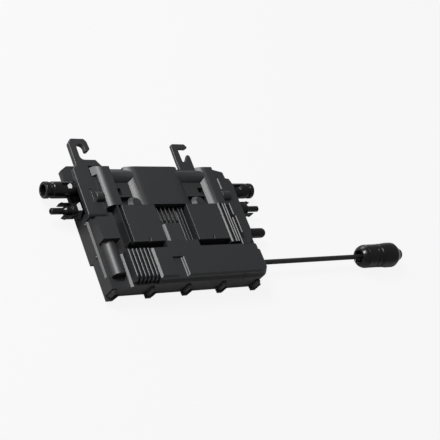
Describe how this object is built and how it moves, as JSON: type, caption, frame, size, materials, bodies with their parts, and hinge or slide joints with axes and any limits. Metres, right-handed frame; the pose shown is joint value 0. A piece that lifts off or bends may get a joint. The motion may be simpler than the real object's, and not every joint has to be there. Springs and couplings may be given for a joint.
{
  "type": "solar microinverter",
  "caption": "Flat dark grey solar microinverter with a ribbed housing, two hook brackets, DC couplers at both ends and an AC lead with a round coupler.",
  "frame": {"origin": "middle of the underside of the housing without its lead, on the plane that the back pad rests on", "axes": "+Z out of the ribbed front face, +X along the housing towards the output lead, +Y towards the hooks"},
  "size_m": [0.5136, 0.201, 0.0384],
  "materials": {
    "housing": "fine satin powder coat, dark grey",
    "bracket": "satin coat, dark grey",
    "heat_sink": "satin, dark grey",
    "rubber": "matt",
    "screws": "plain steel",
    "polymer": "moulded, black",
    "board": "lacquered board",
    "ferrite": "sintered",
    "copper": "bright",
    "thermal_pad": "soft matt",
    "can": "sleeved can",
    "moulding": "moulded"
  },
  "bodies": {
    "root": {"rear_tray": "housing", "front_cover": "housing", "left_lid": "housing", "right_lid": "housing", "left_bracket": "bracket", "right_bracket": "bracket", "right_hook_bracket": "bracket", "heat_sink": "heat_sink", "housing_gasket": "rubber", "ac_grommet": "rubber", "ac_cable": "rubber", "left_socket_washer": "rubber", "left_plug_washer": "rubber", "right_socket_washer": "rubber", "right_plug_washer": "rubber", "housing_screws": "screws", "bracket_screws": "screws", "board_screws": "screws", "wall_plugs": "polymer", "circuit_board": "board", "left_transformer_core": "ferrite", "right_transformer_core": "ferrite", "output_choke": "ferrite", "left_transformer_winding": "copper", "right_transformer_winding": "copper", "lid_pads": "thermal_pad", "heat_pads": "thermal_pad", "storage_capacitors": "can", "film_capacitor": "moulding", "grid_relay": "moulding", "power_switches": "moulding", "dc_terminals": "copper", "ac_terminal": "moulding", "aerial_cap": "polymer", "aerial_rod": "copper", "ac_gland_nut": "polymer", "ac_body": "polymer", "ac_coupling_ring": "polymer", "ac_front_shell": "polymer", "ac_insert": "polymer", "ac_contacts": "copper", "left_socket": "polymer", "left_plug": "polymer", "left_socket_contact": "copper", "left_plug_contact": "copper", "left_socket_nut": "polymer", "left_plug_nut": "polymer", "right_socket": "polymer", "right_plug": "polymer", "right_socket_contact": "copper", "right_plug_contact": "copper", "right_socket_nut": "polymer", "right_plug_nut": "polymer"}
  },
  "joints": []
}
